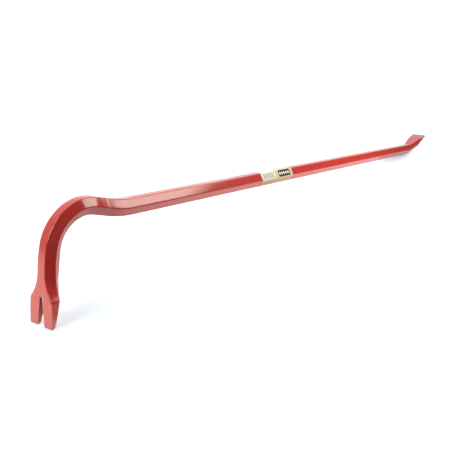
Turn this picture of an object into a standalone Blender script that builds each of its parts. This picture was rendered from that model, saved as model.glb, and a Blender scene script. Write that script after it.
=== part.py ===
"""Crowbar of the gooseneck kind: one forged hexagonal bar and its wrapped label.

Lengths are in metres and angles in degrees. The bar is first laid out in its own side view, with the straight
shaft along +X and the claw at the left. It is then turned and dropped until the two claw tips and the heel
bend touch the floor, and centred on its own bounding box.

Each section of the bar has six corners: two on the outer side (the top of the shaft and the front of the
claw), two in the middle and two on the inner side. The hexagon, the claw and the chisel are the same six
corners at different places, so the whole bar is one loft.
"""
import math

import bmesh
import bpy
from mathutils import Matrix, Vector

# Hexagonal bar stock
ACROSS_FLATS = 0.018
EDGE_REACH = 0.0008       # how far the rounding of an edge runs along each flat of the full section
EDGE_STEPS = 3            # flat strips that make up one rounded edge
FLARE_EDGE_FACTOR = 3.0   # how many times wider the rounding of the front edges is on the claw's flare

# Side view, from the claw tips along the centreline to the chisel tip
LEG_LENGTH = 0.0520
LEG_RADIUS = 0.143
LEG_ANGLE = 9.8
HOOK_FRONT_RADIUS = 0.0400
HOOK_FRONT_ANGLE = 35.0
HOOK_TOP_RADIUS = 0.0440
HOOK_TOP_ANGLE = 58.3
NECK_STRAIGHT = 0.0183
NECK_RADIUS = 0.154
NECK_ANGLE = 13.3
SHAFT_LENGTH = 0.791
HEEL_RADIUS = 0.060
HEEL_ANGLE = 14.7
BLADE_STRAIGHT = 0.0355
BLADE_CURVE_RADIUS = 0.250
BLADE_CURVE_ANGLE = 5.8

# Claw, measured up the leg from the tips
CLAW_WIDTH = 0.0327
CLAW_SIDE_DRAFT = 0.0002       # the front of the claw is this much narrower on each side than its middle
CLAW_CORNER_CUT = 0.0007       # the corners of the tips are worn off by this much
CLAW_TIP_THICKNESS = 0.0009
CLAW_BEVEL_LENGTH = 0.0023     # the short bevel that ends each tine
CLAW_BEVEL_THICKNESS = 0.0050
CLAW_THICKNESS = 0.0100        # at the shoulders
SHOULDER_HEIGHT = 0.0267
FLARE_LENGTH = 0.0158          # from the shoulders up to where the front reaches the bar's width
FLARE_MIDDLE_LENGTH = 0.0092   # the same for the middle corners
FLARE_BACK_LENGTH = 0.0125     # the same for the back corners
RISE_LENGTH = 0.0095           # the steep part of the thickness change above the shoulders
RISE_SHARE = 0.885             # share of the full thickness reached there
RISE_EASE_LENGTH = 0.0200      # the gentle part above it
CLAW_MIDDLE_SHARE = 0.80       # depth of the middle corners as a share of the thickness, on the claw
RISE_MIDDLE_SHARE = 0.64       # the same at the end of the steep part
CLAW_BACK_SHARE = 0.955        # half width of the back as a share of the half width of the middle

# Nail slot
SLOT_MOUTH = 0.0087            # width at the tips, on the front face
SLOT_DEPTH = 0.0292            # height of the closed end above the tips
SLOT_END_WIDTH = 0.0023        # width at the round closed end, on the front face
SLOT_DRAFT_ANGLE = 7.0         # each wall leans out toward the back of the claw by this angle
SLOT_CHAMFER = 0.0011          # chamfer of the slot's edges on the back
SLOT_END_STEPS = 12

# Chisel, measured back along the blade from its tip
CHISEL_EDGE_WIDTH = 0.0266
CHISEL_CORNER_CUT = 0.0009
CHISEL_EDGE_THICKNESS = 0.0017
CHISEL_GRIND_LENGTH = 0.0390   # the wedge ground on the underside
CHISEL_GRIND_THICKNESS = 0.0117
CHISEL_GRIND_BULGE = 0.0013    # how much thicker the wedge is halfway than a straight one
CHISEL_BELLY_LENGTH = 0.0190   # from the wedge back to nearly the full thickness
CHISEL_BELLY_SHARE = 0.925
CHISEL_BELLY_EASE = 0.0180
SPADE_LENGTH = 0.0280          # the nearly parallel front part of the blade, seen from above
SPADE_SHARE = 0.925            # half width there as a share of the half width at the edge
SPADE_FLARE_LENGTH = 0.0415    # from there back to the bar's width
CHISEL_MIDDLE_SHARE = 0.46
CHISEL_MIDDLE_WIDTH = 0.0242   # width across the middle corners at the back of the wedge
CHISEL_BACK_SHARE = 0.965

# Wrapped label on the shaft
LABEL_START = 0.2472           # from the hook end of the straight shaft
LABEL_LENGTH = 0.0812
LABEL_GAP = 0.0003
LABEL_THICKNESS = 0.0003
LABEL_OVERLAP = 0.0048         # the end of the strip lies over its start on the far lower flat

# Share of a stretch that the rounding of a profile's corner takes up
CRISP = 0.09
SHORT = 0.20
EVEN = 0.45
LONG = 0.70

# Paint and print, as red, green, blue, alpha
BAR_COLOUR = (0.50, 0.035, 0.025, 1.0)
BAR_ROUGHNESS = 0.35
LABEL_COLOUR = (0.86, 0.80, 0.62, 1.0)
LABEL_ROUGHNESS = 0.50

# Fineness of the mesh
HOOK_STEP_ANGLE = 2.9
GENTLE_STEP_ANGLE = 1.7
SAMPLE_STEP = 0.0022
CLOSEST_STATIONS = 0.00025
BLEND_STEPS = 6
CUTTER_MARGIN = 0.004
SETTLE_ROUNDS = 8
SHARP_ANGLE = 34.0

# Sizes that follow from the ones above
HALF_FLATS = ACROSS_FLATS / 2
HEX_SIDE = ACROSS_FLATS / math.sqrt(3)
HEX_FLAT_HALF = HEX_SIDE / 2
HEX_MIDDLE_SHARE = 0.5
CLAW_HALF = CLAW_WIDTH / 2
CHISEL_HALF = CHISEL_EDGE_WIDTH / 2
NECK_HEIGHT = SHOULDER_HEIGHT + FLARE_LENGTH
RISE_HEIGHT = SHOULDER_HEIGHT + RISE_LENGTH
FULL_HEIGHT = RISE_HEIGHT + RISE_EASE_LENGTH
BELLY_END = CHISEL_GRIND_LENGTH + CHISEL_BELLY_LENGTH
BLADE_ROOT = BELLY_END + CHISEL_BELLY_EASE
SPADE_ROOT = SPADE_LENGTH + SPADE_FLARE_LENGTH


class Profile:
    """A size along the bar: straight pieces between knots, with a parabola rounding each inner corner.

    A knot is (distance, value, share). The share says how much of the shorter neighbouring piece the
    rounding takes up on each side of the knot.
    """

    def __init__(self, knots):
        self.knots = knots
        self.bends = []
        for before, here, after in zip(knots, knots[1:], knots[2:]):
            reach = here[2] * min(here[0] - before[0], after[0] - here[0])
            slope_in = (here[1] - before[1]) / (here[0] - before[0])
            slope_out = (after[1] - here[1]) / (after[0] - here[0])
            self.bends.append((here[0], here[1], reach, slope_in, slope_out))

    def at(self, distance):
        for centre, value, reach, slope_in, slope_out in self.bends:
            if reach > 0 and abs(distance - centre) < reach:
                past = distance - centre + reach
                rounding = (slope_out - slope_in) * past ** 2 / (4 * reach)
                return value + slope_in * (distance - centre) + rounding
        if distance <= self.knots[0][0]:
            return self.knots[0][1]
        for start, end in zip(self.knots, self.knots[1:]):
            if distance <= end[0]:
                share = (distance - start[0]) / (end[0] - start[0])
                return start[1] + share * (end[1] - start[1])
        return self.knots[-1][1]

    def distances(self):
        """Distances where a section is wanted to follow this profile."""
        found = [knot[0] for knot in self.knots if knot[2] == 0]
        for centre, _, reach, _, _ in self.bends:
            if reach > 0:
                found += [centre + reach * (2 * step / BLEND_STEPS - 1) for step in range(BLEND_STEPS + 1)]
        return found


def claw_profiles():
    """The sizes of the claw's sections by height above its tips.

    In this order: half width of the front, half width of the middle corners, half width of the back as a
    share of that, thickness, depth of the middle corners as a share of that, and how much wider than usual
    the rounding of the front edges is.
    """
    front_half = CLAW_HALF - CLAW_SIDE_DRAFT
    outer = Profile([
        (0, front_half - CLAW_CORNER_CUT, 0),
        (CLAW_CORNER_CUT, front_half, EVEN),
        (SHOULDER_HEIGHT, front_half, CRISP),
        (NECK_HEIGHT, HEX_FLAT_HALF, LONG),
        (NECK_HEIGHT + FLARE_LENGTH, HEX_FLAT_HALF, 0)])
    middle = Profile([
        (0, CLAW_HALF - CLAW_CORNER_CUT, 0),
        (CLAW_CORNER_CUT, CLAW_HALF, EVEN),
        (SHOULDER_HEIGHT, CLAW_HALF, CRISP),
        (SHOULDER_HEIGHT + FLARE_MIDDLE_LENGTH, HEX_SIDE, LONG),
        (NECK_HEIGHT + FLARE_LENGTH, HEX_SIDE, 0)])
    back_share = Profile([
        (0, CLAW_BACK_SHARE, 0),
        (SHOULDER_HEIGHT, CLAW_BACK_SHARE, SHORT),
        (SHOULDER_HEIGHT + FLARE_BACK_LENGTH, HEX_FLAT_HALF / HEX_SIDE, LONG),
        (NECK_HEIGHT + FLARE_LENGTH, HEX_FLAT_HALF / HEX_SIDE, 0)])
    thickness = Profile([
        (0, CLAW_TIP_THICKNESS, 0),
        (CLAW_BEVEL_LENGTH, CLAW_BEVEL_THICKNESS, CRISP),
        (SHOULDER_HEIGHT, CLAW_THICKNESS, SHORT),
        (RISE_HEIGHT, RISE_SHARE * ACROSS_FLATS, EVEN),
        (FULL_HEIGHT, ACROSS_FLATS, EVEN),
        (FULL_HEIGHT + RISE_EASE_LENGTH, ACROSS_FLATS, 0)])
    middle_share = Profile([
        (0, CLAW_MIDDLE_SHARE, 0),
        (SHOULDER_HEIGHT, CLAW_MIDDLE_SHARE, SHORT),
        (RISE_HEIGHT, RISE_MIDDLE_SHARE, EVEN),
        (FULL_HEIGHT, HEX_MIDDLE_SHARE, EVEN),
        (FULL_HEIGHT + RISE_EASE_LENGTH, HEX_MIDDLE_SHARE, 0)])
    edge_factor = Profile([
        (0, 1.0, 0),
        (SHOULDER_HEIGHT - RISE_LENGTH, 1.0, SHORT),
        (SHOULDER_HEIGHT + RISE_LENGTH / 2, FLARE_EDGE_FACTOR, EVEN),
        (NECK_HEIGHT, 1.0, SHORT),
        (NECK_HEIGHT + FLARE_LENGTH, 1.0, 0)])
    return outer, middle, back_share, thickness, middle_share, edge_factor


def chisel_profiles():
    """The same six sizes for the chisel, by distance back from its tip."""
    spade_half = SPADE_SHARE * CHISEL_HALF
    wedge_half = CHISEL_MIDDLE_WIDTH / 2
    outer = Profile([
        (0, CHISEL_HALF - CHISEL_CORNER_CUT, 0),
        (CHISEL_CORNER_CUT, CHISEL_HALF, EVEN),
        (SPADE_LENGTH, spade_half, LONG),
        (SPADE_ROOT, HEX_FLAT_HALF, SHORT),
        (SPADE_ROOT + SPADE_FLARE_LENGTH, HEX_FLAT_HALF, 0)])
    middle = Profile([
        (0, CHISEL_HALF - CHISEL_CORNER_CUT, 0),
        (CHISEL_CORNER_CUT, CHISEL_HALF, EVEN),
        (CHISEL_GRIND_LENGTH, wedge_half, EVEN),
        (BELLY_END, HEX_SIDE, EVEN),
        (BLADE_ROOT + CHISEL_BELLY_EASE, HEX_SIDE, 0)])
    back_share = Profile([
        (0, CHISEL_BACK_SHARE, 0),
        (CHISEL_GRIND_LENGTH, CHISEL_BACK_SHARE, CRISP),
        (BELLY_END, HEX_FLAT_HALF / HEX_SIDE, EVEN),
        (BLADE_ROOT + CHISEL_BELLY_EASE, HEX_FLAT_HALF / HEX_SIDE, 0)])
    half_grind = CHISEL_GRIND_LENGTH / 2
    half_thickness = (CHISEL_EDGE_THICKNESS + CHISEL_GRIND_THICKNESS) / 2 + CHISEL_GRIND_BULGE
    thickness = Profile([
        (0, CHISEL_EDGE_THICKNESS, 0),
        (half_grind, half_thickness, LONG),
        (CHISEL_GRIND_LENGTH, CHISEL_GRIND_THICKNESS, CRISP),
        (BELLY_END, CHISEL_BELLY_SHARE * ACROSS_FLATS, EVEN),
        (BLADE_ROOT, ACROSS_FLATS, EVEN),
        (BLADE_ROOT + CHISEL_BELLY_EASE, ACROSS_FLATS, 0)])
    middle_share = Profile([
        (0, HEX_MIDDLE_SHARE, 0),
        (CHISEL_GRIND_LENGTH, CHISEL_MIDDLE_SHARE, SHORT),
        (BELLY_END, HEX_MIDDLE_SHARE, EVEN),
        (BLADE_ROOT + CHISEL_BELLY_EASE, HEX_MIDDLE_SHARE, 0)])
    edge_factor = Profile([(0, 1.0, 0), (BLADE_ROOT, 1.0, 0)])
    return outer, middle, back_share, thickness, middle_share, edge_factor


def side_moves():
    """The centreline as (length, turn) moves, a left turn being positive."""
    def arc(radius, degrees):
        turn = math.radians(degrees)
        return (radius * abs(turn), turn)

    return [
        (LEG_LENGTH, 0.0),
        arc(LEG_RADIUS, -LEG_ANGLE),
        arc(HOOK_FRONT_RADIUS, -HOOK_FRONT_ANGLE),
        arc(HOOK_TOP_RADIUS, -HOOK_TOP_ANGLE),
        (NECK_STRAIGHT, 0.0),
        arc(NECK_RADIUS, NECK_ANGLE),
        (SHAFT_LENGTH, 0.0),
        arc(HEEL_RADIUS, HEEL_ANGLE),
        (BLADE_STRAIGHT, 0.0),
        arc(BLADE_CURVE_RADIUS, -BLADE_CURVE_ANGLE)]


MOVES = side_moves()
TOTAL_LENGTH = sum(length for length, _ in MOVES)
SHAFT_START = sum(length for length, _ in MOVES[:6])
FIRST_HEADING = math.radians(LEG_ANGLE + HOOK_FRONT_ANGLE + HOOK_TOP_ANGLE - NECK_ANGLE)


def centreline(distance):
    """Point and heading of the centreline at this distance from the claw tips."""
    x = 0.0
    z = 0.0
    heading = FIRST_HEADING
    left = distance
    for length, turn in MOVES:
        part = min(left, length)
        if turn == 0.0:
            x += part * math.cos(heading)
            z += part * math.sin(heading)
        else:
            radius = length / turn
            swept = part / radius
            x += radius * (math.sin(heading + swept) - math.sin(heading))
            z -= radius * (math.cos(heading + swept) - math.cos(heading))
            heading += swept
        left -= part
        if left <= 0:
            break
    return x, z, heading


def place(distance, across, depth):
    """Point of the bar at this distance, this far across and this deep below the outer side."""
    x, z, heading = centreline(distance)
    lift = HALF_FLATS - depth
    return Vector((x - math.sin(heading) * lift, across, z + math.cos(heading) * lift))


def soften(corners, reaches):
    """Replace each corner of a closed outline by a short curve that starts and ends its reach from it."""
    softened = []
    for index, corner in enumerate(corners):
        here = Vector(corner)
        to_last = Vector(corners[index - 1]) - here
        to_next = Vector(corners[(index + 1) % len(corners)]) - here
        start = here + to_last.normalized() * reaches[index]
        end = here + to_next.normalized() * reaches[index]
        for step in range(EDGE_STEPS + 1):
            share = step / EDGE_STEPS
            softened.append(start * (1 - share) ** 2 + here * 2 * share * (1 - share) + end * share ** 2)
    return softened


def hexagon_corners(flats, thickness):
    side = flats / math.sqrt(3)
    middle = thickness / 2
    return [(side / 2, 0.0), (side, middle), (side / 2, thickness), (-side / 2, thickness), (-side, middle),
            (-side / 2, 0.0)]


def section(distance, claw, chisel):
    """Softened outline of the bar at this distance as (across, depth) points."""
    if distance < TOTAL_LENGTH / 2:
        sizes = [profile.at(distance) for profile in claw]
    else:
        sizes = [profile.at(TOTAL_LENGTH - distance) for profile in chisel]
    outer, middle, back_share, thickness, middle_share, edge_factor = sizes
    back = middle * back_share
    depth = thickness * middle_share
    corners = [(outer, 0.0), (middle, depth), (back, thickness), (-back, thickness), (-middle, depth),
               (-outer, 0.0)]
    reach = EDGE_REACH * thickness / ACROSS_FLATS
    return soften(corners, [reach * edge_factor, reach, reach, reach, reach, reach * edge_factor])


def stations(claw, chisel):
    """Distances along the bar at which a section is drawn."""
    wanted = []
    start = 0.0
    for length, turn in MOVES:
        step_angle = HOOK_STEP_ANGLE if abs(turn) > math.radians(HEEL_ANGLE) else GENTLE_STEP_ANGLE
        steps = max(1, math.ceil(abs(turn) / math.radians(step_angle)))
        wanted += [start + length * step / steps for step in range(steps)]
        start += length
    wanted.append(TOTAL_LENGTH)
    for profile in claw:
        wanted += profile.distances()
    for profile in chisel:
        wanted += [TOTAL_LENGTH - distance for distance in profile.distances()]
    claw_count = math.ceil(FULL_HEIGHT / SAMPLE_STEP)
    wanted += [FULL_HEIGHT * step / claw_count for step in range(claw_count)]
    blade_count = math.ceil(BLADE_ROOT / SAMPLE_STEP)
    wanted += [TOTAL_LENGTH - BLADE_ROOT * step / blade_count for step in range(blade_count)]
    kept = []
    for distance in sorted(wanted):
        if not kept or distance - kept[-1] > CLOSEST_STATIONS:
            kept.append(distance)
    kept[-1] = TOTAL_LENGTH
    return kept


def loft(rings, closed):
    """Mesh from rings of points: capped at both ends, or joined last to first when closed."""
    mesh = bmesh.new()
    rows = [[mesh.verts.new(point) for point in ring] for ring in rings]
    pairs = list(zip(rows, rows[1:]))
    if closed:
        pairs.append((rows[-1], rows[0]))
    else:
        mesh.faces.new(rows[0])
        mesh.faces.new(list(reversed(rows[-1])))
    for first, second in pairs:
        for index in range(len(first)):
            after = (index + 1) % len(first)
            mesh.faces.new((first[after], first[index], second[index], second[after]))
    bmesh.ops.recalc_face_normals(mesh, faces=mesh.faces)
    return mesh


def make_object(name, mesh):
    data = bpy.data.meshes.new(name)
    mesh.to_mesh(data)
    mesh.free()
    made = bpy.data.objects.new(name, data)
    bpy.context.scene.collection.objects.link(made)
    return made


def slot_cutter():
    """Solid that cuts the nail slot: narrow on the front, leaning outward, chamfered on the back."""
    lean = math.tan(math.radians(SLOT_DRAFT_ANGLE))
    end_half = SLOT_END_WIDTH / 2
    end_centre = SLOT_DEPTH - end_half
    taper = (SLOT_MOUTH / 2 - end_half) / end_centre
    mouth_flare = CLAW_CORNER_CUT
    back_slope = (CLAW_THICKNESS - CLAW_BEVEL_THICKNESS) / (SHOULDER_HEIGHT - CLAW_BEVEL_LENGTH)

    def back_depth(height):
        return CLAW_BEVEL_THICKNESS + back_slope * (height - CLAW_BEVEL_LENGTH)

    def ring(depth_at, widen_at):
        outline = []
        for height, extra in ((-CUTTER_MARGIN, mouth_flare + CUTTER_MARGIN), (0.0, mouth_flare),
                              (mouth_flare, 0.0)):
            outline.append((end_half + taper * (end_centre - height) + extra, height))
        half = []
        for step in range(SLOT_END_STEPS + 1):
            turn = math.pi * step / SLOT_END_STEPS
            half.append((math.cos(turn), math.sin(turn)))
        points = []
        for across, height in outline:
            points.append((across + widen_at(height), height))
        for across, up in half:
            reach = end_half + widen_at(end_centre)
            points.append((reach * across, end_centre + reach * up))
        for across, height in reversed(outline):
            points.append((-across - widen_at(height), height))
        return [place(height, across, depth_at(height)) for across, height in points]

    front = ring(lambda height: -CUTTER_MARGIN, lambda height: 0.0)
    chamfer_start = ring(lambda height: back_depth(height) - SLOT_CHAMFER,
                         lambda height: lean * (back_depth(height) - SLOT_CHAMFER))
    beyond = ring(lambda height: back_depth(height) + CUTTER_MARGIN,
                  lambda height: lean * (back_depth(height) - SLOT_CHAMFER) + SLOT_CHAMFER + CUTTER_MARGIN)
    return make_object("slot_cutter", loft([front, chamfer_start, beyond], False))


def cut(target, cutter):
    """Take the cutter out of the target and leave the result as the target's own mesh."""
    cutter.hide_render = True
    cutter.display_type = 'WIRE'
    step = target.modifiers.new("slot", 'BOOLEAN')
    step.operation = 'DIFFERENCE'
    step.solver = 'EXACT'
    step.object = cutter
    view = bpy.context.evaluated_depsgraph_get()
    result = bpy.data.meshes.new_from_object(target.evaluated_get(view))
    old = target.data
    target.modifiers.clear()
    target.data = result
    bpy.data.meshes.remove(old)
    bpy.data.objects.remove(cutter)


def make_bar():
    claw = claw_profiles()
    chisel = chisel_profiles()
    rings = []
    for distance in stations(claw, chisel):
        rings.append([place(distance, across, depth) for across, depth in section(distance, claw, chisel)])
    bar = make_object("forged_bar", loft(rings, False))
    cut(bar, slot_cutter())
    return bar


def make_label():
    """Hexagonal sleeve around the shaft, a strip's width thicker where its end lies over its start."""
    def grown(extra):
        flats = ACROSS_FLATS + 2 * extra
        corners = hexagon_corners(flats, flats)
        return [(across, depth - extra) for across, depth in corners]

    inner = grown(LABEL_GAP)
    outer = grown(LABEL_GAP + LABEL_THICKNESS)
    reaches = [EDGE_REACH] * len(inner)
    inner_ring = soften(inner, reaches)
    outer_ring = soften(outer, reaches)
    low = Vector(outer[1])
    flat = Vector(outer[2]) - low
    along = flat.normalized()
    out = Vector((-along.y, along.x))
    if out.dot(low + flat / 2 - Vector((0.0, HALF_FLATS))) < 0:
        out = -out
    middle = low + flat / 2
    step = [middle - along * LABEL_OVERLAP / 2, middle - along * LABEL_OVERLAP / 2 + out * LABEL_THICKNESS,
            middle + along * LABEL_OVERLAP / 2 + out * LABEL_THICKNESS, middle + along * LABEL_OVERLAP / 2]
    spot = 2 * (EDGE_STEPS + 1)
    outer_ring = outer_ring[:spot] + step + outer_ring[spot:]
    inner_step = [middle - along * LABEL_OVERLAP / 2, middle - along * LABEL_OVERLAP / 4,
                  middle + along * LABEL_OVERLAP / 4, middle + along * LABEL_OVERLAP / 2]
    inner_step = [point - out * LABEL_THICKNESS for point in inner_step]
    inner_ring = inner_ring[:spot] + inner_step + inner_ring[spot:]
    start = SHAFT_START + LABEL_START
    end = start + LABEL_LENGTH
    rings = []
    for distance, outline in ((start, inner_ring), (start, outer_ring), (end, outer_ring), (end, inner_ring)):
        rings.append([place(distance, across, depth) for across, depth in outline])
    return make_object("wrap_label", loft(rings, True))


def settle(pieces, bar):
    """Turn and drop the pieces until claw and heel touch z = 0, and centre them on their own bounds."""
    middle_x = centreline(TOTAL_LENGTH / 2)[0]
    left = [vertex.co.copy() for vertex in bar.data.vertices if vertex.co.x < middle_x]
    right = [vertex.co.copy() for vertex in bar.data.vertices if vertex.co.x >= middle_x]

    def lowest(points, angle):
        return min(points, key=lambda point: point.z * math.cos(angle) - point.x * math.sin(angle))

    tilt = 0.0
    for _ in range(SETTLE_ROUNDS):
        claw_point = lowest(left, tilt)
        heel_point = lowest(right, tilt)
        tilt = math.atan2(heel_point.z - claw_point.z, heel_point.x - claw_point.x)
    turn = Matrix.Rotation(tilt, 4, 'Y')
    turned = [turn @ vertex.co for vertex in bar.data.vertices]
    low = [min(point[axis] for point in turned) for axis in range(3)]
    high = [max(point[axis] for point in turned) for axis in range(3)]
    drop = Matrix.Translation((-(low[0] + high[0]) / 2, -(low[1] + high[1]) / 2, -low[2]))
    for piece in pieces:
        piece.data.transform(drop @ turn)


def finish(piece, colour, roughness):
    material = bpy.data.materials.new(piece.name + "_material")
    material.use_nodes = True
    shader = material.node_tree.nodes["Principled BSDF"]
    shader.inputs["Base Color"].default_value = colour
    shader.inputs["Roughness"].default_value = roughness
    shader.inputs["Metallic"].default_value = 0.0
    piece.data.materials.clear()
    piece.data.materials.append(material)
    piece.data.shade_smooth()
    piece.data.set_sharp_from_angle(angle=math.radians(SHARP_ANGLE))


def main():
    for old in list(bpy.data.objects):
        bpy.data.objects.remove(old)
    bar = make_bar()
    label = make_label()
    settle([bar, label], bar)
    finish(bar, BAR_COLOUR, BAR_ROUGHNESS)
    finish(label, LABEL_COLOUR, LABEL_ROUGHNESS)


main()
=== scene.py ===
"""Looks of the crowbar: red enamel, printed label, white studio and the photograph's camera.

Lengths are in metres in the part's own frame: +X runs from the claw end to the chisel end, +Z up, and the
floor is at z = 0. Angles are in degrees.
"""
import math

import bmesh
import bpy
from mathutils import Matrix, Vector


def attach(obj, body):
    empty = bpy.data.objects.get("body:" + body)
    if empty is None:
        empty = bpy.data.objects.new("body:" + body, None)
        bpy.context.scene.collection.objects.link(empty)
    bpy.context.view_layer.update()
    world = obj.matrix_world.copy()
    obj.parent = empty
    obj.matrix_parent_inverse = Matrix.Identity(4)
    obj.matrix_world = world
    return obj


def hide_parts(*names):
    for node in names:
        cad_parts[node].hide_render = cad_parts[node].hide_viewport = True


BAR = "forged_bar"
LABEL = "wrap_label"

# Camera, fitted to the photographed edges of the bar. Its lens and sensor are in millimetres.
CAMERA_AT = (-0.83812, -0.47044, 0.29587)
CAMERA_HEADING = 36.17           # from +X towards +Y
CAMERA_DOWN = 19.286
CAMERA_ROLL = 0.089
CAMERA_LENS = 51.711
CAMERA_SENSOR = 36.0
CAMERA_REACH = 1000.0

# Floor of white paper. It glows a little, and the camera sees it brighter, most of all far from the bar.
FLOOR_HALF = 400.0
FLOOR_COLOUR = (0.80, 0.84, 0.86)
FLOOR_ROUGHNESS = 0.9
FLOOR_GLOW_COLOUR = (0.93, 0.93, 1.0)
FLOOR_GLOW = 0.18
# Painted light: the glow that only the camera sees is bluish, which tints the floor's shadows blue
SEEN_GLOW_COLOUR = (0.77, 0.93, 1.14)
SEEN_GLOW = 0.17
FAR_GLOW = 1.3
FAR_FROM = (0.0, 0.0, 0.0)
FAR_START = 0.75
FAR_END = 2.0
# Even glow of the floor, painted light that only the camera sees: it hides the bar's shadow under the shaft
# and leaves the shadow beside the claw and the heel
EVEN_GLOW = 0.30
CLAW_SPOT = (-0.452, 0.006, 0.0)
CLAW_SHADE = (0.006, 0.11)       # how far from its spot the even glow starts and is full
HEEL_SPOT = (0.385, 0.015, 0.0)
HEEL_SHADE = (0.0, 0.10)

# Ground that the paint reflects: name, centre, length, depth, radiance, colour, if it lights the paint too
CARDS = (
    ("front_card", (-0.20, -1.61, 0.0005), 6.0, 3.0, 0.02, (1.0, 1.0, 1.0), True),
    ("neck_card", (-0.3325, -0.0575, 0.0005), 0.135, 0.105, 1.45, (1.0, 0.98, 0.93), True),
    ("shaft_card", (0.020, 0.195, 0.0005), 0.57, 0.61, 1.45, (1.0, 0.98, 0.93), True),
    ("heel_card", (0.420, 0.195, 0.0005), 0.23, 0.61, 0.90, (1.0, 0.98, 0.95), False),
    ("claw_card", (-1.69, 1.27, 0.0006), 2.42, 2.66, 1.95, (1.0, 0.96, 0.86), False),
)
FADING_CARD = "claw_card"        # its glow falls off behind the bar as a power of y
FADE_START = 0.20
FADE_POWER = -0.20

# Studio panels: name, centre, width, height, radiance, colour, what they give and what they give it to
PANEL_AIM = (-0.15, 0.0, 0.05)
BOTH, LIGHT, GLINT = "light and reflection", "light", "reflection"
ALL, PAINT, PAPER = "everything", "bar and label", "floor"
PANELS = (
    ("right_softbox", (2.491, -1.954, 2.14), 1.76, 1.61, 8.2, (0.96, 0.97, 0.83), BOTH, ALL),
    ("right_fill", (0.115, -0.33, 0.24), 0.48, 0.15, 6.0, (1.0, 0.98, 0.96), LIGHT, PAINT),
    ("key_softbox", (-2.12, -0.45, 2.23), 1.20, 1.20, 3.0, (1.0, 0.97, 0.90), BOTH, PAINT),
    ("floor_light", (-1.425, 0.270, 1.26), 0.95, 0.95, 4.0, (1.0, 0.99, 0.95), LIGHT, PAPER),
    ("left_fill", (-2.00, 0.80, 1.40), 1.20, 1.00, 10.5, (1.0, 0.98, 0.96), LIGHT, PAINT),
    ("edge_strip", (-2.256, -0.476, 1.94), 0.30, 2.60, 36.0, (1.0, 0.98, 0.94), GLINT, ALL),
    ("back_right_panel", (3.90, 1.50, 1.25), 3.0, 2.5, 1.15, (1.0, 0.99, 0.96), BOTH, ALL),
    ("back_middle_panel", (2.30, 3.20, 1.35), 2.8, 2.7, 1.45, (1.0, 0.99, 0.96), BOTH, ALL),
    ("back_left_panel", (-0.10, 3.60, 1.60), 3.0, 3.2, 1.45, (1.0, 0.99, 0.96), BOTH, ALL),
    ("left_panel", (-2.30, 2.60, 1.30), 2.2, 2.6, 0.9, (1.0, 0.98, 0.94), BOTH, ALL),
    ("top_panel", (0.10, 0.60, 3.20), 2.4, 2.4, 1.5, (1.0, 1.0, 1.0), BOTH, ALL),
)

# The room around the panels, and the white that the camera sees in its place
ROOM_RADIANCE = 0.10
ROOM_COLOUR = (0.95, 0.97, 1.0)
SKY_RADIANCE = 1.6
SKY_COLOUR = (1.0, 1.0, 1.0)

# Red enamel on the forged bar: colours
ENAMEL_RED = (0.54, 0.040, 0.031)
ENAMEL_DEEP = (0.47, 0.035, 0.028)
ENAMEL_STREAK = (0.56, 0.052, 0.038)
ENAMEL_THIN = (0.30, 0.026, 0.022)
# Painted shade: a darker red on the walls of the nail slot, in place of the shade in its recess
SLOT_PAINTED_SHADE = (0.20, 0.008, 0.004)
WORN_STEEL = (0.085, 0.036, 0.030)
THIN_SHARE = 0.5                 # how far the colour changes where the paint is thin on an edge
SLOT_SHARE = 0.85                # how far the colour turns to the painted shade on the walls of the nail slot

# Red enamel: gloss
ENAMEL_ROUGHNESS = 0.105
DULL_SPREAD = 0.05               # how far the roughness varies
BARE_ROUGHER = 0.28
SLOT_ROUGHER = 0.45
ENAMEL_IOR = 1.5

# Red enamel: places on the bar. The claw's own are only looked for where x is below CLAW_BEHIND.
EDGE_RADIUS = 0.0011
CORNER_RADIUS = 0.0036           # added to it on the claw's shoulders
CORNER_HEIGHT = 0.0292
CORNER_REACH = 0.0045
CORNER_CORE = 0.0015
BEVEL_SAMPLES = 6
CLAW_WORN_HEIGHT = 0.0016
CLAW_WORN_CORE = 0.0003
CHISEL_WORN_FROM = 0.4885
CHISEL_WORN_TO = 0.4942
SLOT_TOP = 0.031
SLOT_TOP_EASE = 0.0015
SLOT_HALF = 0.0062
SLOT_EASE = 0.0004
CLAW_BEHIND = -0.45
CLAW_EASE = 0.002

# Red enamel: noises as scale per metre and detail. The streaks' scales are set per axis by their stretch.
MOTTLE_NOISE = (60.0, 3.0)
STREAK_STRETCH = (45.0, 700.0, 45.0)
STREAK_NOISE = (1.0, 2.0)
PATCH_NOISE = (210.0, 4.0)
RAGGED_NOISE = (900.0, 4.0)
RAGGED_SHARE = 0.55
CHIP_NOISE = (420.0, 5.0)
DULL_NOISE = (35.0, 3.0)
WAVE_NOISE = (110.0, 2.0)
PEEL_NOISE = (1100.0, 1.0)

# Red enamel: ramps as the values where they start and end. The streaks' also says what it gives there.
STREAK_RAMP = (0.50, 0.75, 0.0, 0.5)
EDGE_RAMP = (0.995, 0.93)        # cosine between the rounded normal and the face's own
PATCH_RAMP = (0.44, 0.62)
CHIP_RAMP = (0.66, 0.72)
BARE_RAMP = (0.78, 1.05)
WALL_RAMP = (0.75, 0.9)          # share of a face's normal that points across the bar

# Red enamel: bumps as strength and height
WAVE_BUMP = (0.35, 0.00012)
PEEL_BUMP = (0.10, 0.00004)
STREAK_BUMP = (0.15, 0.00003)
BARE_BUMP = (0.5, -0.00005)

# Shallow forging waves across the neck: where each starts and ends along X, and how far it rises
NECK_STRENGTH = 1.0
NECK_WAVES = (
    (-0.4332, -0.4106, -0.00050),
    (-0.4090, -0.4068, -0.00004),
    (-0.4068, -0.4046, 0.00004),
    (-0.4106, -0.3886, 0.00024),
)

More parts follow.
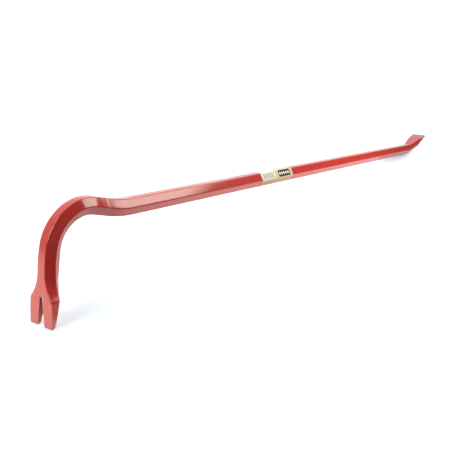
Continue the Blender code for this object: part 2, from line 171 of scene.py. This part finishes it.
# Printed label, a film around the shaft. Distances along it are from its hook end.
LABEL_LENGTH = 0.0812
LABEL_ORIGIN = (-0.121870, 0.0, 0.063831)
LABEL_BACK = 0.0028              # how much nearer the hook the photograph shows it
SHAFT_SLOPE = 5.7929
ACROSS_FLATS = 0.018
EDGE_REACH = 0.0008
EDGE_STEPS = 3
FILM_GAP = 0.00006
FILM_THICKNESS = 0.00014
FILM_LAP = 0.0048
FILM_STEPS = 28
SHARP_ANGLE = 34.0

# Surface of the film: noises, ramps and bumps as for the enamel
FILM_SHINE = 0.16
FILM_ROUGHNESS = 0.24
FILM_ROUGH_SPREAD = 0.16
FILM_ROUGH_NOISE = (260.0, 3.0)
STAIN_NOISE = (320.0, 4.0)
STAIN_RAMP = (0.35, 0.75, 0.0, 0.16)
WRINKLE_STRETCH = (150.0, 420.0, 420.0)
WRINKLE_NOISE = (1.0, 2.0)
WRINKLE_BUMP = (0.25, 0.00008)

# Colours of the print
CREAM = (0.77, 0.79, 0.71)
WARM_CREAM = (0.82, 0.68, 0.50)
WHITE = (0.86, 0.87, 0.89)
YELLOW = (0.66, 0.63, 0.35)
BRIGHT_YELLOW = (0.52, 0.50, 0.055)
INK = (0.010, 0.008, 0.002)
MIST = (0.33, 0.40, 0.46)
SAGE = (0.42, 0.48, 0.36)
# Tan and straw are also painted shade: darker copies of the cream and the yellow on the near lower flat.
# Tan also colours the rims and the stains.
TAN = (0.48, 0.26, 0.185)
SHADED_YELLOW = (0.56, 0.345, 0.225)
OLIVE = (0.20, 0.17, 0.07)

# Layout of the print in millimetres: along the label, and around it from the overlap under the shaft
MM = 0.001
FLAT = 10.5
UNDER = 13.4                     # where the near lower flat begins
NEAR = UNDER + FLAT              # where the near upper flat begins
TOP = NEAR + FLAT
FAR = TOP + FLAT
BAND_FROM = 36.4
BAND_TO = 38.6
WARM_REACH = 6.0                 # how far up the near upper flat the cream turns from warm to cool
RIM = 0.7

# Boxes of the print in millimetres: from and to along the label, from and to above the start of their flat
STRIPE_BOX = (5.0, 32.0, 2.0, 8.6)
STRIPE_RULE = (3.6, 33.4, 0.7, 1.2)
DARK_BANDS = ((43.6, 73.4, 0.35, 10.15), (75.2, 76.2, 0.35, 10.15))
CHAIN_BOX = (45.0, 72.0, 2.0, 8.4)
# Painted shade: on the near lower flat these fields are darker copies of the yellow and the cream
SHADED_YELLOW_BOX = (37.5, 82.0, 0.8, 10.0)
SHADED_CREAM_BOX = (-1.0, 37.5, 0.8, 8.9)
TAN_RULE = (4.5, 32.0, 3.4, 4.6)

# Motifs of the print in millimetres
STRIPE_PITCH = 6.4
STRIPE_WIDTH = 3.7
STRIPE_SLANT = 0.45
LOZENGE_PITCH = 5.4
LOZENGE_HALF = 2.5
LOZENGE_HEIGHT = 5.2
DOT_PITCH = 6.2
DOT_RADIUS = 1.703
DOT_HEIGHT = 5.0


class Graph:
    """A material's nodes, made one call at a time from numbers, tuples and other nodes' outputs."""

    def __init__(self, name):
        self.material = bpy.data.materials.new(name)
        self.material.use_nodes = True
        self.nodes = self.material.node_tree.nodes
        self.links = self.material.node_tree.links
        self.shader = self.nodes["Principled BSDF"]
        self.output = self.nodes["Material Output"]

    def give(self, socket, value):
        if isinstance(value, bpy.types.NodeSocket):
            self.links.new(value, socket)
        elif isinstance(value, tuple) and len(value) == 3 and socket.type == 'RGBA':
            socket.default_value = (*value, 1.0)
        else:
            socket.default_value = value

    def shade(self, name, value):
        self.give(self.shader.inputs[name], value)

    def show(self, shader):
        self.give(self.output.inputs["Surface"], shader)

    def math(self, operation, first, second=0.0):
        node = self.nodes.new("ShaderNodeMath")
        node.operation = operation
        self.give(node.inputs[0], first)
        self.give(node.inputs[1], second)
        return node.outputs[0]

    def times(self, product, *factors):
        for factor in factors:
            product = self.math('MULTIPLY', product, factor)
        return product

    def plus(self, total, *terms):
        for term in terms:
            total = self.math('ADD', total, term)
        return total

    def apart(self, value, middle):
        """How far the value is from the middle, on either side."""
        return self.math('ABSOLUTE', self.math('SUBTRACT', value, middle))

    def vector(self, operation, first, second):
        node = self.nodes.new("ShaderNodeVectorMath")
        node.operation = operation
        self.give(node.inputs[0], first)
        self.give(node.inputs[1], second)
        result = "Value" if operation in ('DOT_PRODUCT', 'DISTANCE') else "Vector"
        return node.outputs[result]

    def ramp(self, value, low, high, to_low=0.0, to_high=1.0):
        """Smooth step of value from to_low at low to to_high at high."""
        node = self.nodes.new("ShaderNodeMapRange")
        node.interpolation_type = 'SMOOTHSTEP'
        self.give(node.inputs["Value"], value)
        limits = {"From Min": low, "From Max": high, "To Min": to_low, "To Max": to_high}
        for name, limit in limits.items():
            node.inputs[name].default_value = limit
        return node.outputs["Result"]

    def noise(self, place, scale, detail):
        node = self.nodes.new("ShaderNodeTexNoise")
        self.give(node.inputs["Vector"], place)
        node.inputs["Scale"].default_value = scale
        node.inputs["Detail"].default_value = detail
        return node.outputs["Fac"]

    def mix(self, share, first, second):
        node = self.nodes.new("ShaderNodeMix")
        node.data_type = 'RGBA'
        self.give(node.inputs["Factor"], share)
        self.give(node.inputs["A"], first)
        self.give(node.inputs["B"], second)
        return node.outputs["Result"]

    def split(self, vector):
        node = self.nodes.new("ShaderNodeSeparateXYZ")
        self.give(node.inputs[0], vector)
        return node.outputs[0], node.outputs[1], node.outputs[2]

    def rounded(self, radius):
        """Normal of the surface with its edges rounded."""
        node = self.nodes.new("ShaderNodeBevel")
        node.samples = BEVEL_SAMPLES
        self.give(node.inputs["Radius"], radius)
        return node.outputs["Normal"]

    def bump(self, height, strength, distance, normal=None):
        node = self.nodes.new("ShaderNodeBump")
        self.give(node.inputs["Height"], height)
        node.inputs["Strength"].default_value = strength
        node.inputs["Distance"].default_value = distance
        if normal is not None:
            self.give(node.inputs["Normal"], normal)
        return node.outputs["Normal"]

    def place(self):
        return self.nodes.new("ShaderNodeTexCoord").outputs["Object"]

    def geometry(self, name):
        return self.nodes.new("ShaderNodeNewGeometry").outputs[name]

    def within(self, value, low, high):
        """1 where the value is between low and high, 0 elsewhere."""
        inside = self.math('COMPARE', value, (low + high) / 2)
        inside.node.inputs[2].default_value = (high - low) / 2
        return inside

    def box(self, along, around, box, base):
        """1 inside a box of the print on the flat that begins at base, 0 outside."""
        start, end, low, high = box
        return self.times(self.within(along, start, end), self.within(around, base + low, base + high))


def new_object(name, mesh):
    data = bpy.data.meshes.new(name)
    mesh.to_mesh(data)
    mesh.free()
    made = bpy.data.objects.new(name, data)
    bpy.context.scene.collection.objects.link(made)
    return made


def rectangle(name, half_width, half_height):
    mesh = bmesh.new()
    signs = ((-1, -1), (1, -1), (1, 1), (-1, 1))
    mesh.faces.new([mesh.verts.new((x * half_width, y * half_height, 0.0)) for x, y in signs])
    return new_object(name, mesh)


def glow(name, radiance, colour):
    """Nodes of a material that only glows."""
    graph = Graph(name)
    graph.nodes.remove(graph.shader)
    graph.shader = graph.nodes.new("ShaderNodeEmission")
    graph.shade("Color", colour)
    graph.shade("Strength", radiance)
    graph.show(graph.shader.outputs["Emission"])
    return graph


def add_camera():
    heading = math.radians(CAMERA_HEADING)
    down = math.radians(CAMERA_DOWN)
    roll = math.radians(CAMERA_ROLL)
    data = bpy.data.cameras.new("camera")
    data.lens = CAMERA_LENS
    data.sensor_width = CAMERA_SENSOR
    data.clip_end = CAMERA_REACH
    camera = bpy.data.objects.new("camera", data)
    bpy.context.scene.collection.objects.link(camera)
    level = math.cos(down)
    forward = Vector((math.cos(heading) * level, math.sin(heading) * level, -math.sin(down)))
    side = Vector((math.sin(heading), -math.cos(heading), 0.0))
    right = math.cos(roll) * side + math.sin(roll) * side.cross(forward)
    up = right.cross(forward)
    turn = Matrix((right, up, -forward)).transposed().to_4x4()
    camera.matrix_world = Matrix.Translation(CAMERA_AT) @ turn
    bpy.context.scene.camera = camera


def add_floor():
    floor = rectangle("floor", FLOOR_HALF, FLOOR_HALF)
    graph = Graph("floor_paper")
    graph.shade("Base Color", FLOOR_COLOUR)
    graph.shade("Roughness", FLOOR_ROUGHNESS)
    graph.shade("Specular IOR Level", 0.0)
    place = graph.place()
    far = graph.ramp(graph.vector('DISTANCE', place, FAR_FROM), FAR_START, FAR_END, 0.0, FAR_GLOW)
    claw = graph.ramp(graph.vector('DISTANCE', place, CLAW_SPOT), *CLAW_SHADE)
    heel = graph.ramp(graph.vector('DISTANCE', place, HEEL_SPOT), *HEEL_SHADE)
    # painted light: a camera-only glow that hides the bar's shadow except beside the claw and the heel
    even = graph.times(claw, heel, EVEN_GLOW)
    seen = graph.nodes.new("ShaderNodeLightPath").outputs["Is Camera Ray"]
    more = graph.times(graph.plus(far, even, SEEN_GLOW), seen)
    graph.shade("Emission Strength", graph.plus(more, FLOOR_GLOW))
    graph.shade("Emission Color", graph.mix(seen, FLOOR_GLOW_COLOUR, SEEN_GLOW_COLOUR))
    floor.data.materials.append(graph.material)
    return floor


def add_card(name, centre, length, depth, radiance, colour, diffuse):
    """One-sided sheet just over the floor: the paint reflects it, the camera and the floor don't see it."""
    card = rectangle(name, length / 2, depth / 2)
    card.location = centre
    graph = glow(name, radiance, colour)
    if name == FADING_CARD:
        behind = graph.math('MAXIMUM', graph.split(graph.geometry("Position"))[1], FADE_START)
        graph.shade("Strength", graph.times(graph.math('POWER', behind, FADE_POWER), radiance))
    clear = graph.nodes.new("ShaderNodeBsdfTransparent")
    sides = graph.nodes.new("ShaderNodeMixShader")
    graph.give(sides.inputs[0], graph.geometry("Backfacing"))
    graph.give(sides.inputs[1], graph.shader.outputs["Emission"])
    graph.give(sides.inputs[2], clear.outputs["BSDF"])
    graph.show(sides.outputs["Shader"])
    card.data.materials.append(graph.material)
    card.visible_camera = False
    card.visible_diffuse = diffuse
    card.visible_shadow = False


def add_panel(name, centre, width, tall, radiance, colour, gives, receivers):
    """Glowing rectangle that faces the bar. The camera doesn't see it, only its light and reflection."""
    panel = rectangle(name, width / 2, tall / 2)
    away = Vector(PANEL_AIM) - Vector(centre)
    panel.matrix_world = Matrix.Translation(centre) @ away.to_track_quat('Z', 'Y').to_matrix().to_4x4()
    panel.data.materials.append(glow(name, radiance, colour).material)
    panel.visible_camera = False
    panel.visible_glossy = gives != LIGHT
    panel.visible_diffuse = gives != GLINT
    panel.visible_shadow = gives == BOTH
    if receivers is not None:
        panel.light_linking.receiver_collection = receivers


def background(tree, radiance, colour):
    node = tree.nodes.new("ShaderNodeBackground")
    node.inputs["Color"].default_value = (*colour, 1.0)
    node.inputs["Strength"].default_value = radiance
    return node.outputs["Background"]


def set_world():
    world = bpy.data.worlds.new("studio")
    bpy.context.scene.world = world
    world.use_nodes = True
    tree = world.node_tree
    tree.nodes.clear()
    output = tree.nodes.new("ShaderNodeOutputWorld")
    path = tree.nodes.new("ShaderNodeLightPath")
    mix = tree.nodes.new("ShaderNodeMixShader")
    tree.links.new(path.outputs["Is Camera Ray"], mix.inputs[0])
    tree.links.new(background(tree, ROOM_RADIANCE, ROOM_COLOUR), mix.inputs[1])
    tree.links.new(background(tree, SKY_RADIANCE, SKY_COLOUR), mix.inputs[2])
    tree.links.new(mix.outputs["Shader"], output.inputs["Surface"])


def edge_mask(graph, normal):
    """1 on the edges, where the rounded normal turns away from the face's own."""
    return graph.ramp(graph.vector('DOT_PRODUCT', graph.rounded(EDGE_RADIUS), normal), *EDGE_RAMP)


def bare_mask(graph, place, edge, claw_side):
    """1 where the paint is worn off: at the claw's tips, the chisel's edge and in chips along the edges."""
    x, _, z = graph.split(place)
    tips = graph.times(graph.ramp(z, CLAW_WORN_HEIGHT, CLAW_WORN_CORE), claw_side)
    chisel = graph.ramp(x, CHISEL_WORN_FROM, CHISEL_WORN_TO)
    ends = graph.math('MAXIMUM', tips, chisel)
    ragged = graph.plus(ends, graph.times(graph.noise(place, *RAGGED_NOISE), RAGGED_SHARE))
    chips = graph.times(graph.ramp(graph.noise(place, *CHIP_NOISE), *CHIP_RAMP), edge)
    return graph.math('MAXIMUM', graph.ramp(ragged, *BARE_RAMP), chips)


def slot_mask(graph, place, normal, claw_side):
    """1 on the walls of the nail slot, where shade is painted into the colour and the paint is made
    rougher.
    """
    _, y, z = graph.split(place)
    wall = graph.ramp(graph.math('ABSOLUTE', graph.split(normal)[1]), *WALL_RAMP)
    beside = graph.ramp(graph.math('ABSOLUTE', y), SLOT_HALF, SLOT_HALF - SLOT_EASE)
    below = graph.ramp(z, SLOT_TOP, SLOT_TOP - SLOT_TOP_EASE)
    return graph.times(wall, beside, below, claw_side)


def enamel_normal(graph, place, streaks, bare, claw_side):
    """Rounded edges, forging waves on the neck, an uneven coat of paint and bare steel sunk into it."""
    x, _, z = graph.split(place)
    corner = graph.times(graph.ramp(graph.apart(z, CORNER_HEIGHT), CORNER_REACH, CORNER_CORE), claw_side)
    normal = graph.rounded(graph.plus(graph.times(corner, CORNER_RADIUS), EDGE_RADIUS))
    for start, end, rise in NECK_WAVES:
        normal = graph.bump(graph.ramp(x, start, end), NECK_STRENGTH, rise, normal)
    normal = graph.bump(graph.noise(place, *WAVE_NOISE), *WAVE_BUMP, normal)
    normal = graph.bump(graph.noise(place, *PEEL_NOISE), *PEEL_BUMP, normal)
    normal = graph.bump(streaks, *STREAK_BUMP, normal)
    return graph.bump(bare, *BARE_BUMP, normal)


def enamel():
    """Glossy red paint with streaks along the bar, thin on the edges, worn off at the two ends and darker
    on the walls of the nail slot as painted shade.
    """
    graph = Graph("red_enamel_paint")
    place = graph.place()
    normal = graph.geometry("Normal")
    streaks = graph.noise(graph.vector('MULTIPLY', place, STREAK_STRETCH), *STREAK_NOISE)
    claw_side = graph.ramp(graph.split(place)[0], CLAW_BEHIND, CLAW_BEHIND - CLAW_EASE)
    edge = edge_mask(graph, normal)
    bare = bare_mask(graph, place, edge, claw_side)
    slot = slot_mask(graph, place, normal, claw_side)

    colour = graph.mix(graph.noise(place, *MOTTLE_NOISE), ENAMEL_DEEP, ENAMEL_RED)
    colour = graph.mix(graph.ramp(streaks, *STREAK_RAMP), colour, ENAMEL_STREAK)
    patches = graph.ramp(graph.noise(place, *PATCH_NOISE), *PATCH_RAMP)
    colour = graph.mix(graph.times(edge, patches, THIN_SHARE), colour, ENAMEL_THIN)
    # painted shade: darker red on the walls of the nail slot
    colour = graph.mix(graph.times(slot, SLOT_SHARE), colour, SLOT_PAINTED_SHADE)
    graph.shade("Base Color", graph.mix(bare, colour, WORN_STEEL))

    dull = graph.times(graph.noise(place, *DULL_NOISE), DULL_SPREAD)
    rough = graph.plus(dull, ENAMEL_ROUGHNESS - DULL_SPREAD / 2)
    rough = graph.plus(rough, graph.times(bare, BARE_ROUGHER), graph.times(slot, SLOT_ROUGHER))
    graph.shade("Roughness", rough)
    graph.shade("IOR", ENAMEL_IOR)
    graph.shade("Normal", enamel_normal(graph, place, streaks, bare, claw_side))
    return graph.material


def hexagon(flats):
    """Corners of the section as (across, lift), from the far lower one round under the shaft."""
    side = flats / math.sqrt(3)
    half = flats / 2
    lower = [(side / 2, -half), (-side / 2, -half), (-side, 0.0)]
    upper = [(-side / 2, half), (side / 2, half), (side, 0.0)]
    return lower + upper


def soften(corners):
    """The outline with a short curve in the place of each corner."""
    softened = []
    for index, corner in enumerate(corners):
        here = Vector(corner)
        start = here + (Vector(corners[index - 1]) - here).normalized() * EDGE_REACH
        end = here + (Vector(corners[(index + 1) % len(corners)]) - here).normalized() * EDGE_REACH
        for step in range(EDGE_STEPS + 1):
            share = step / EDGE_STEPS
            softened.append(start * (1 - share) ** 2 + here * 2 * share * (1 - share) + end * share ** 2)
    return softened


def film_ring(lift, lapped):
    """Outline of the film at this height over the bar. If lapped, its end lies over its start."""
    outline = soften(hexagon(ACROSS_FLATS + 2 * lift))
    middle = (outline[-1] + outline[0]) / 2
    along = (outline[0] - outline[-1]).normalized()
    out = Vector((-along.y, along.x))
    if out.dot(middle) < 0:
        out = -out
    half = along * FILM_LAP / 2
    if lapped:
        tail = [middle + half * step + out * FILM_THICKNESS for step in (-1, 0, 1)]
    else:
        tail = [middle + half * step / 2 for step in (-1, 0, 1)]
    return [middle + half] + outline + [middle - half] + tail


def lengths_around(ring):
    """Length of the way around the ring up to each of its points, and back at the first one."""
    reach = [0.0]
    for before, here in zip(ring, ring[1:] + ring[:1]):
        reach.append(reach[-1] + (here - before).length)
    return reach


def make_label():
    """The film, with its print's map as shares of its length and its girth. Also gives the girth."""
    turn = math.radians(SHAFT_SLOPE)
    direction = Vector((math.cos(turn), 0.0, -math.sin(turn)))
    upward = Vector((math.sin(turn), 0.0, math.cos(turn)))
    inner = film_ring(FILM_GAP, False)
    outer = film_ring(FILM_GAP + FILM_THICKNESS, True)
    reach = lengths_around(outer)
    girth = reach[-1]

    mesh = bmesh.new()
    print_map = mesh.loops.layers.uv.new("print")

    def row(outline, distance):
        start = Vector(LABEL_ORIGIN) + direction * (distance - LABEL_BACK)
        return [mesh.verts.new(start + Vector((0.0, point.x, 0.0)) + upward * point.y) for point in outline]

    distances = [LABEL_LENGTH * step / FILM_STEPS for step in range(FILM_STEPS + 1)]
    stops = [(inner, LABEL_LENGTH), (inner, 0.0)] + [(outer, distance) for distance in distances]
    rows = [row(outline, distance) for outline, distance in stops]
    for index, first in enumerate(rows):
        following = (index + 1) % len(rows)
        second = rows[following]
        shares = (stops[index][1] / LABEL_LENGTH, stops[following][1] / LABEL_LENGTH)
        for spot in range(len(first)):
            after = (spot + 1) % len(first)
            face = mesh.faces.new((first[spot], first[after], second[after], second[spot]))
            corners = ((shares[0], spot), (shares[0], spot + 1), (shares[1], spot + 1), (shares[1], spot))
            for loop, (share, place) in zip(face.loops, corners):
                loop[print_map].uv = (share, reach[place] / girth)
    bmesh.ops.recalc_face_normals(mesh, faces=mesh.faces)
    piece = new_object("label_film", mesh)
    piece.data.shade_smooth()
    piece.data.set_sharp_from_angle(angle=math.radians(SHARP_ANGLE))
    return piece, girth


def print_fields(graph, along, around):
    """Cream field, yellow field and the bright band between them."""
    cream = graph.mix(graph.ramp(around, NEAR, NEAR + WARM_REACH), WARM_CREAM, CREAM)
    colour = graph.mix(graph.math('GREATER_THAN', along, BAND_TO), cream, YELLOW)
    return graph.mix(graph.within(along, BAND_FROM, BAND_TO), colour, BRIGHT_YELLOW)


def print_upper_flat(graph, along, around, base, colour):
    """Slanted stripes over a rule, then dark bands, of which the wide one holds a chain of lozenges."""
    slant = graph.plus(along, graph.times(around, STRIPE_SLANT))
    stripes = graph.math('LESS_THAN', graph.math('FLOORED_MODULO', slant, STRIPE_PITCH), STRIPE_WIDTH)
    colour = graph.mix(graph.times(graph.box(along, around, STRIPE_BOX, base), stripes), colour, MIST)
    colour = graph.mix(graph.box(along, around, STRIPE_RULE, base), colour, SAGE)
    for band in DARK_BANDS:
        colour = graph.mix(graph.box(along, around, band, base), colour, INK)

    cell = graph.math('FLOORED_MODULO', graph.math('SUBTRACT', along, CHAIN_BOX[0]), LOZENGE_PITCH)
    across = graph.apart(cell, LOZENGE_PITCH / 2)
    tall = graph.apart(around, base + LOZENGE_HEIGHT)
    lozenges = graph.math('LESS_THAN', graph.plus(across, tall), LOZENGE_HALF)
    return graph.mix(graph.times(lozenges, graph.box(along, around, CHAIN_BOX, base)), colour, WHITE)


def print_lower_flat(graph, along, around, colour):
    """Near lower flat with painted shade: the yellow as a darker straw field with a printed row of dots,
    and the cream as a darker tan field with a printed rule.
    """
    # painted shade: darker copies of the yellow and the cream on this flat
    shaded_yellow = graph.box(along, around, SHADED_YELLOW_BOX, UNDER)
    colour = graph.mix(shaded_yellow, colour, SHADED_YELLOW)
    cell = graph.math('SUBTRACT', graph.math('FLOORED_MODULO', along, DOT_PITCH), DOT_PITCH / 2)
    height = graph.math('SUBTRACT', around, UNDER + DOT_HEIGHT)
    squares = graph.plus(graph.times(cell, cell), graph.times(height, height))
    dots = graph.math('LESS_THAN', squares, DOT_RADIUS ** 2)
    colour = graph.mix(graph.times(dots, shaded_yellow), colour, OLIVE)
    colour = graph.mix(graph.box(along, around, SHADED_CREAM_BOX, UNDER), colour, TAN)
    return graph.mix(graph.box(along, around, TAN_RULE, UNDER), colour, OLIVE)


def label_print(girth):
    """Film with a generic print of fields, bands, stripes, lozenges and dots, and a tan rim at each end. On
    the near lower flat the fields are darkened as painted shade.
    """
    graph = Graph("printed_label_film")
    spot = graph.nodes.new("ShaderNodeUVMap")
    spot.uv_map = "print"
    spread = graph.vector('MULTIPLY', spot.outputs["UV"], (LABEL_LENGTH / MM, girth / MM, 1.0))
    along, around, _ = graph.split(spread)

    colour = print_fields(graph, along, around)
    for base in (NEAR, FAR):
        colour = print_upper_flat(graph, along, around, base, colour)
    colour = print_lower_flat(graph, along, around, colour)
    half = LABEL_LENGTH / MM / 2
    rims = graph.math('GREATER_THAN', graph.apart(along, half), half - RIM)
    colour = graph.mix(rims, colour, TAN)

    place = graph.place()
    stain = graph.ramp(graph.noise(place, *STAIN_NOISE), *STAIN_RAMP)
    graph.shade("Base Color", graph.mix(stain, colour, TAN))
    graph.shade("Specular IOR Level", FILM_SHINE)
    uneven = graph.times(graph.noise(place, *FILM_ROUGH_NOISE), FILM_ROUGH_SPREAD)
    graph.shade("Roughness", graph.plus(uneven, FILM_ROUGHNESS))
    wrinkles = graph.noise(graph.vector('MULTIPLY', place, WRINKLE_STRETCH), *WRINKLE_NOISE)
    graph.shade("Normal", graph.bump(wrinkles, *WRINKLE_BUMP))
    return graph.material


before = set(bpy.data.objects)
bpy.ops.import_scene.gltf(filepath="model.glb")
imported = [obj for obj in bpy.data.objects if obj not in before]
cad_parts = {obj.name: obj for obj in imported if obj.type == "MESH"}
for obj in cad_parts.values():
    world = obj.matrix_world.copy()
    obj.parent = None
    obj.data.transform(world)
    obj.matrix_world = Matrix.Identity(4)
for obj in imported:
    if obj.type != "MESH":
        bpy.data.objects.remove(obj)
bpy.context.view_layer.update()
bpy.context.scene.view_settings.view_transform = 'Standard'
bpy.context.scene.view_settings.look = 'None'
add_camera()

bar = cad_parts[BAR]
bar.data.materials.clear()
bar.data.materials.append(enamel())
label, label_girth = make_label()
label.data.materials.append(label_print(label_girth))
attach(label, "root")
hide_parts(LABEL)

set_world()
floor = add_floor()
for values in CARDS:
    add_card(*values)
receivers = {ALL: None, PAINT: bpy.data.collections.new(PAINT), PAPER: bpy.data.collections.new(PAPER)}
receivers[PAINT].objects.link(bar)
receivers[PAINT].objects.link(label)
receivers[PAPER].objects.link(floor)
for *values, lit in PANELS:
    add_panel(*values, receivers[lit])
